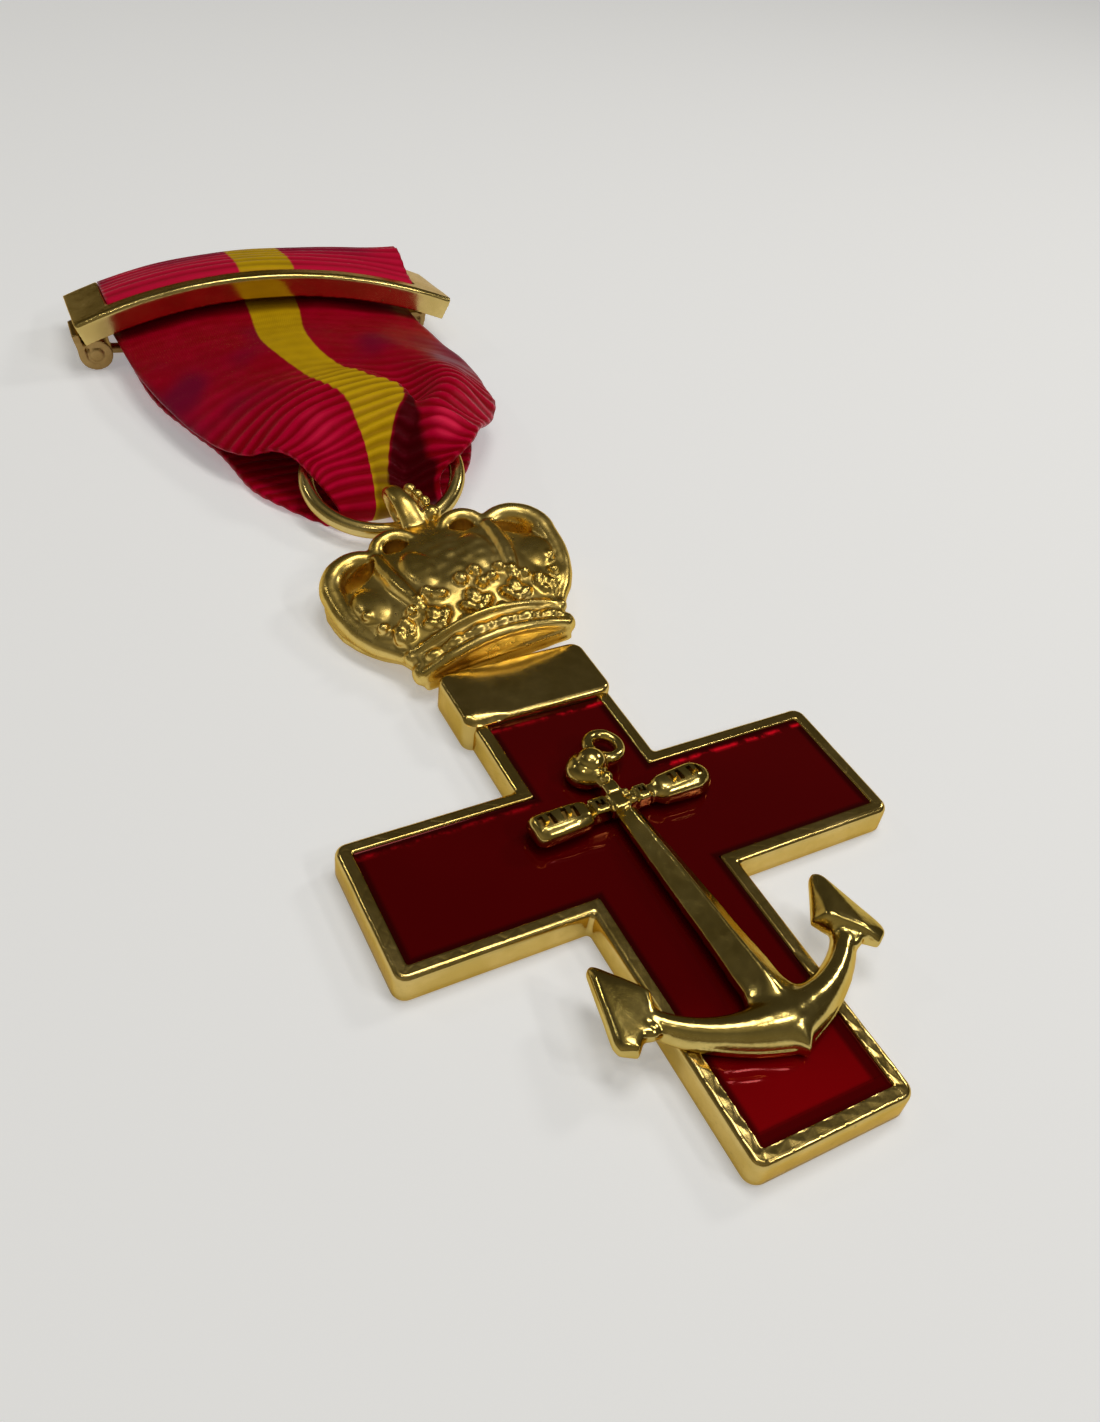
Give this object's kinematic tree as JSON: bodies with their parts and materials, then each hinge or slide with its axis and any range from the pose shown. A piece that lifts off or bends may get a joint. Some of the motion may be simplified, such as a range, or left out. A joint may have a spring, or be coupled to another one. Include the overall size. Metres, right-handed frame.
{
  "type": "merit cross medal on a ribbon and brooch bar",
  "caption": "Gilt Latin cross with red enamel and a raised anchor, hung from a royal crown, a ring, a gathered red and yellow ribbon and a bowed brooch bar, lying face up.",
  "frame": {"origin": "centre of the crossing of the cross, on its flat back", "axes": "+Y runs from the cross's foot to the brooch bar, +X to the cross's left arm as worn, +Z out of the face; the part lies face up"},
  "size_m": [0.0325, 0.0896, 0.0074],
  "materials": {
    "gilt": "polished",
    "bar_gilt": "satin",
    "pin_gilt": "satin",
    "enamel": "gloss",
    "ribbon": "ribbed"
  },
  "bodies": {
    "root": {"cross_frame": "gilt", "enamel": "enamel", "anchor": "gilt", "crown": "gilt", "ring": "gilt", "ribbon": "ribbon", "bar_frame": "bar_gilt", "bar_ribbon": "ribbon", "brooch_pin": "pin_gilt"}
  },
  "joints": []
}
